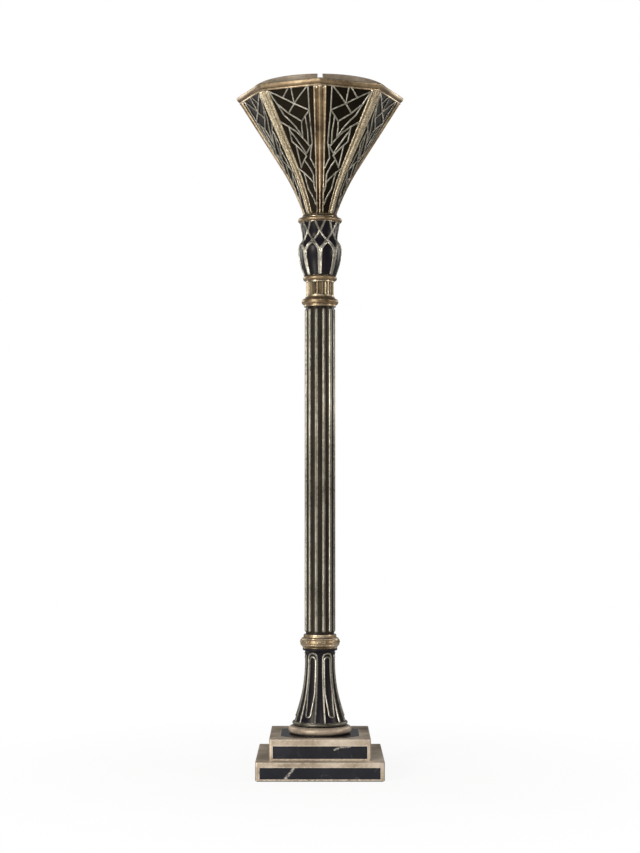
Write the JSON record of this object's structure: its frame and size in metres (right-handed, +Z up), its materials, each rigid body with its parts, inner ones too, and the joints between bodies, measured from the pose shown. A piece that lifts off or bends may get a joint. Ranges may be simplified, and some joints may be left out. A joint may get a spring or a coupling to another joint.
{
  "type": "torchiere floor lamp",
  "caption": "Uplighter floor lamp with a flared faceted shade of dark glass and tracery, a reeded column and a stepped square base.",
  "frame": {"origin": "middle of the square foot, on the floor", "axes": "+Z up the column, -Y out of the front, +X to the right seen from the front"},
  "size_m": [0.4358, 0.4358, 1.769],
  "materials": {
    "antique_bronze": "antique patina, satin, worn brighter on edges",
    "pale_bronze": "silvered bronze, satin",
    "black_marble": "polished black stone with sparse pale veins",
    "black_glass": "opaque black glass, polished",
    "dark_enamel": "blue-black enamel, gloss",
    "steel": "zinc plated",
    "cast_iron": "raw casting",
    "felt": "pressed felt",
    "black_plastic": "moulded",
    "white_plastic": "moulded",
    "bright_brass": "plain brass",
    "bulb_metal": "rolled thread",
    "bulb_glass": "frosted",
    "flex": "sheathed two-core flex"
  },
  "bodies": {
    "lamp": {"base_felt": "felt", "base_cover": "steel", "cover_screws": "steel", "lower_frame": "antique_bronze", "lower_stone": "black_marble", "ballast": "cast_iron", "terminal_block": "white_plastic", "cord_gland": "black_plastic", "gland_nut": "steel", "upper_frame": "antique_bronze", "upper_stone": "black_marble", "top_slab": "black_marble", "foot_ring": "antique_bronze", "groove_spacer": "dark_enamel", "foot_bead": "pale_bronze", "pedestal_body": "dark_enamel", "pedestal_tracery": "pale_bronze", "lower_knop": "antique_bronze", "column_tube": "dark_enamel", "column_reeds": "pale_bronze", "upper_collar": "antique_bronze", "fluted_neck": "antique_bronze", "capital_low_ring": "antique_bronze", "capital_body": "dark_enamel", "capital_tracery": "pale_bronze", "capital_top_ring": "antique_bronze", "tie_rod": "steel", "rod_nuts": "steel", "rod_washers": "steel", "inner_flex": "flex", "shade_seat": "antique_bronze", "rib_screws": "steel", "shade_ribs": "antique_bronze", "shade_glass": "black_glass", "shade_tracery": "pale_bronze", "rim_rails": "antique_bronze", "rail_screws": "steel", "crown_segments": "antique_bronze", "holder_cap": "bright_brass", "holder_shell": "bright_brass", "holder_insulator": "black_plastic", "screw_shell": "bright_brass", "centre_contact": "bright_brass", "bulb_cap": "bulb_metal", "bulb_glass": "bulb_glass"},
    "key": {"switch_key": "black_plastic"}
  },
  "joints": [
    {"name": "switch_turn", "type": "hinge", "parent": "lamp", "child": "key", "pos_m": [0.02, 0, 1.472], "axis": [1, 0, 0], "continuous": true}
  ]
}
